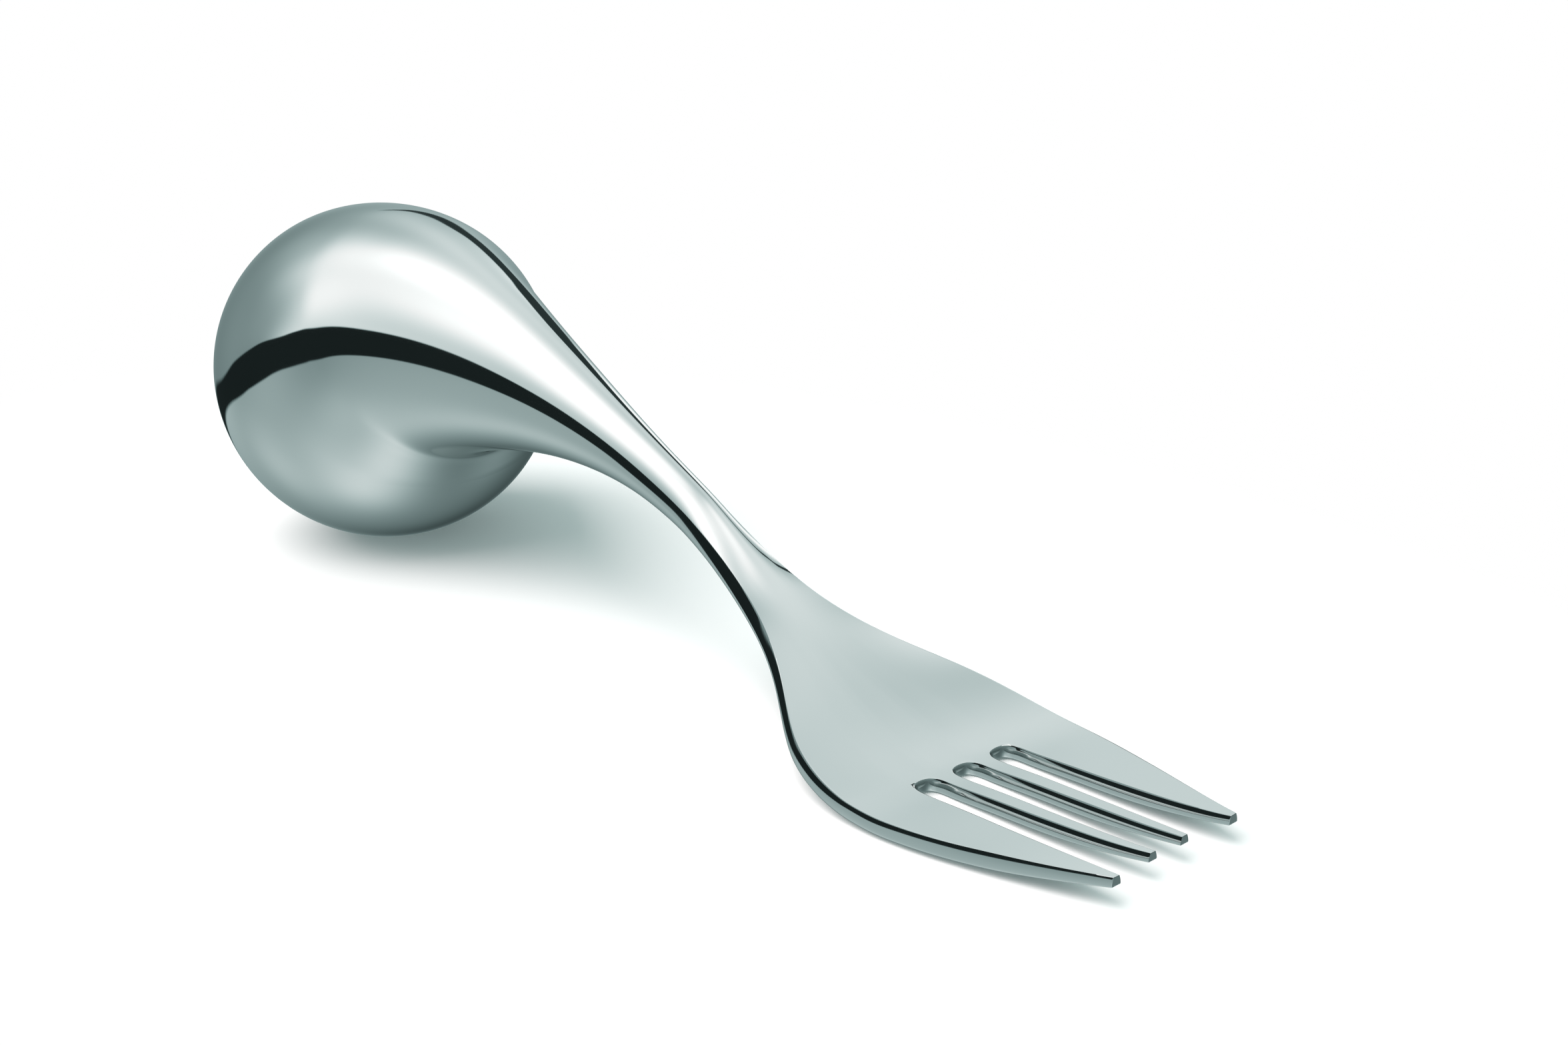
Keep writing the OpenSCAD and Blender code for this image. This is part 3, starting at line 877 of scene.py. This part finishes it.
# %% White table
bpy.ops.object.select_all(action="DESELECT")
bpy.ops.mesh.primitive_plane_add(size=4.0, location=(0, 0, 0))
table = bpy.context.object
table.name = "table"
table.visible_glossy = False
white = bpy.data.materials.new("table_white")
white.use_nodes = True
table_tree = white.node_tree
table_tree.nodes.clear()
spread = add(table_tree, "ShaderNodeTexCoord")
squeezed = add(table_tree, "ShaderNodeMapping", {"Vector": spread.outputs["Object"],
                                                 "Scale": (6.5, 11.0, 1.0)})
distance = add(table_tree, "ShaderNodeVectorMath", {0: squeezed.outputs[0]}, operation="LENGTH")
far = add(table_tree, "ShaderNodeMapRange", {"Value": distance.outputs["Value"], "From Min": 0.62,
                                             "From Max": 1.1}, interpolation_type="SMOOTHSTEP")
seen = add(table_tree, "ShaderNodeLightPath")
fade = add(table_tree, "ShaderNodeMath", {0: far.outputs[0], 1: seen.outputs["Is Camera Ray"]},
           operation="MULTIPLY")
matt = add(table_tree, "ShaderNodeBsdfDiffuse", {"Color": (0.90, 0.93, 0.925, 1)})
glow = add(table_tree, "ShaderNodeEmission", {"Color": (1, 1, 1, 1), "Strength": 1.0})
mixed = add(table_tree, "ShaderNodeMixShader", {0: fade.outputs[0], 1: matt.outputs[0],
                                                2: glow.outputs[0]})
add(table_tree, "ShaderNodeOutputMaterial", {"Surface": mixed.outputs[0]})
table.data.materials.append(white)
print("table", table.dimensions[0], "m wide")

# %% Soft lamp
lamp_data = bpy.data.lights.new("soft_lamp", "AREA")
lamp_data.shape = "RECTANGLE"
lamp_data.size = 1.0
lamp_data.size_y = 1.0
lamp_data.energy = 12.0
lamp_data.color = (1.0, 0.86, 0.865)
lamp = bpy.data.objects.new("soft_lamp", lamp_data)
lamp.location = (-0.25, -0.43, 0.74)
lamp.rotation_euler = Vector(lamp.location).to_track_quat("Z", "Y").to_euler()
lamp.visible_glossy = False
bpy.context.collection.objects.link(lamp)
print("lamp", lamp_data.energy, "W")

# %% [markdown]
# ## What the steel mirrors
# Polished steel shows its surroundings more than itself, so the world is painted for glossy rays only.
# Soft lights stand above a parting line, and weaker ones below it paint the table as the steel
# mirrors it, with the lamp's pool of light on it and a painted shade where the fork's shadow lies
# under the ball. Two black strips, one on each side, give the dark lines along the fork.
# A photographer would use black card.
# The places and strengths were fitted to one picture, so other views mirror a guess.

# %% Painted surroundings
world = bpy.data.worlds.new("studio")
bpy.context.scene.world = world
world.use_nodes = True
sky = world.node_tree
sky.nodes.clear()
look = add(sky, "ShaderNodeTexCoord")
toward = look.outputs["Generated"]
parts = add(sky, "ShaderNodeSeparateXYZ", {0: toward})


def calc(operation, a, b=None):
    """One arithmetic node of the sky."""
    inputs = {0: a} if b is None else {0: a, 1: b}
    return add(sky, "ShaderNodeMath", inputs, operation=operation).outputs[0]


def soft(value, start, end):
    """0 below start and 1 above end, with a soft change between."""
    return add(sky, "ShaderNodeMapRange", {"Value": value, "From Min": start, "From Max": end},
               interpolation_type="SMOOTHSTEP").outputs[0]


def blend_value(factor, a, b):
    return add(sky, "ShaderNodeMix", {0: factor, 2: a, 3: b}, data_type="FLOAT").outputs[0]


azimuth = calc("ADD", calc("DIVIDE", calc("ARCTAN2", parts.outputs["Y"], parts.outputs["X"]),
                           2 * pi), 0.5)
height = calc("ADD", calc("DIVIDE", calc("ARCSINE", parts.outputs["Z"]), pi), 0.5)
print("sky begins with", len(sky.nodes), "nodes")

# %% Directions and curves in the sky
def closeness(around, up):
    """Cosine of the angle to a direction given by azimuth and elevation."""
    a, e = radians(around), radians(up)
    fixed = (cos(a) * cos(e), sin(a) * cos(e), sin(e))
    return add(sky, "ShaderNodeVectorMath", {0: toward, 1: fixed},
               operation="DOT_PRODUCT").outputs["Value"]


def curve(points):
    """A free curve over the azimuth, for heights from -90 to 90 degrees."""
    node = add(sky, "ShaderNodeFloatCurve", {"Value": azimuth})
    line = node.mapping.curves[0]
    pairs = [((a + 180) / 360, e / 180 + 0.5) for a, e in points]
    line.points[0].location, line.points[1].location = pairs[0], pairs[-1]
    for pair in pairs[1:-1]:
        line.points.new(*pair)
    node.mapping.update()
    return node.outputs[0]


PARTING = ((-180, -16), (-150, -7), (-135, 1), (-120, 10), (-105, 18), (-95, 22), (-85, 24),
           (-60, 20), (-30, 5), (0, 0), (60, 0), (120, -8), (150, -16), (180, -16))
print("parting line through", len(PARTING), "points")

# %% Soft light of the room
ROOM = ((135, 80, 2, 0.29), (120, 10, 32, 1.08), (-100, 60, 16, 1.25), (130, 40, 32, 0.26),
        (-180, 70, 32, 1.26), (80, 40, 32, 0.79), (-100, 20, 32, 0.64), (40, 70, 32, 0.71),
        (-150, 50, 32, 0.35), (140, 60, 32, 0.50), (-100, 40, 32, 0.26), (150, 0, 32, 0.16),
        (110, 40, 32, 0.30), (60, 60, 32, 0.83), (140, 30, 32, 0.33), (-150, 0, 8, 0.09),
        (-180, 40, 32, 0.14), (-20, 70, 32, 0.97), (-130, 20, 32, 0.06))
# Table below the parting line: its pool of lamplight, and last a painted shadow under the ball.
TABLE = ((-90, -50, 2, 0.37), (-170, -10, 16, 0.23), (-30, -50, 16, 0.39), (-120, 10, 4, 0.26),
         (-140, -40, 16, 0.24), (160, -10, 16, 0.26), (-60, -10, 16, 0.24), (-80, -70, 16, 0.37),
         (-80, -40, 16, 0.15), (-180, -30, 16, 0.11), (70, -40, 16, 0.18), (-30, -30, 16, 0.25),
         (148, -38, 16, -0.12))
ROOM_BASE, TABLE_BASE, DARKEST = 0.2, 0.1, 0.02
PARTING_BLUR = 0.015


def glow_of(base, lobes):
    """An even level and soft lights, each with azimuth, elevation, tightness and strength."""
    total = base
    for az, el, tight, strength in lobes:
        fall = calc("EXPONENT", calc("MULTIPLY", calc("SUBTRACT", closeness(az, el), 1.0), tight))
        total = calc("ADD", total, calc("MULTIPLY", fall, strength))
    return calc("MAXIMUM", total, DARKEST)


above = soft(calc("SUBTRACT", height, curve(PARTING)), -PARTING_BLUR, PARTING_BLUR)
level = blend_value(above, glow_of(TABLE_BASE, TABLE), glow_of(ROOM_BASE, ROOM))
print(len(ROOM), "lights above and", len(TABLE), "below")

# %% Black strips
NEAR_LOW = ((-180, -18.8), (-160, -15.9), (-144, -12.2), (-131, -6.4), (-117, 0.7), (-109, 5.5),
            (-101, 9.5), (-86, 14.8), (-60, 19), (40, 0), (150, -19.5), (180, -18.8))
NEAR_TOP = ((-180, -12.6), (-166, -9.5), (-149, -0.7), (-135, 7.6), (-122, 17.2), (-110, 24.8),
            (-104.5, 28.7), (-96, 33.3), (-60, 39), (40, 10), (150, -18), (165, -14.8), (180, -12.6))
FAR_LOW = ((-180, 18), (20, 18), (60, 22.5), (95, 25.5), (108, 25.5), (115, 23), (122, 16.5),
           (129, 6.5), (134, 2), (139, 6.5), (144, 14), (150, 20.5), (180, 22))
FAR_TOP = ((-180, 19), (20, 19), (60, 24.5), (95, 28), (108, 29.5), (115, 31.5), (122, 28),
           (129, 18), (134, 12), (139, 14.5), (144, 18.5), (150, 21.5), (180, 22))
STRIP_BLUR = 0.004
NEAR_DARK, FAR_DARK = 0.018, 0.04


def between(low_edge, top_edge):
    """1 between two edges, with a narrow soft border."""
    return calc("MULTIPLY",
                soft(calc("SUBTRACT", height, curve(low_edge)), -STRIP_BLUR, STRIP_BLUR),
                soft(calc("SUBTRACT", curve(top_edge), height), -STRIP_BLUR, STRIP_BLUR))


def turned(start, end):
    """1 where the azimuth lies past the end, 0 before the start."""
    return soft(azimuth, (start + 180) / 360, (end + 180) / 360)


near_span = calc("SUBTRACT", 1.0, calc("SUBTRACT", turned(-78, -36), turned(160, 166)))
far_span = calc("SUBTRACT", turned(20, 60), turned(148, 151))
for low_edge, top_edge, span, dark in ((NEAR_LOW, NEAR_TOP, near_span, NEAR_DARK),
                                       (FAR_LOW, FAR_TOP, far_span, FAR_DARK)):
    level = blend_value(calc("MULTIPLY", between(low_edge, top_edge), span), level, dark)
print("two strips, sky now with", len(sky.nodes), "nodes")

# %% Join the sky
# Dim light is cooler than bright light.
redness = add(sky, "ShaderNodeMapRange", {"Value": level, "From Max": 1.26, "To Min": 0.66,
                                          "To Max": 1.0})
cool = add(sky, "ShaderNodeCombineColor", {0: redness.outputs[0], 1: 1.0, 2: 1.0})
rays = add(sky, "ShaderNodeLightPath")
painted = add(sky, "ShaderNodeBackground", {"Color": cool.outputs[0], "Strength": level})
plain = add(sky, "ShaderNodeBackground", {"Color": (0.82, 1, 0.985, 1), "Strength": 0.68})
backdrop = add(sky, "ShaderNodeBackground", {"Color": (1, 1, 1, 1), "Strength": 1.0})
indoors = add(sky, "ShaderNodeMixShader", {0: rays.outputs["Is Glossy Ray"], 1: plain.outputs[0],
                                           2: painted.outputs[0]})
whole = add(sky, "ShaderNodeMixShader", {0: rays.outputs["Is Camera Ray"], 1: indoors.outputs[0],
                                         2: backdrop.outputs[0]})
add(sky, "ShaderNodeOutputWorld", {"Surface": whole.outputs[0]})
print("sky with", len(sky.nodes), "nodes")
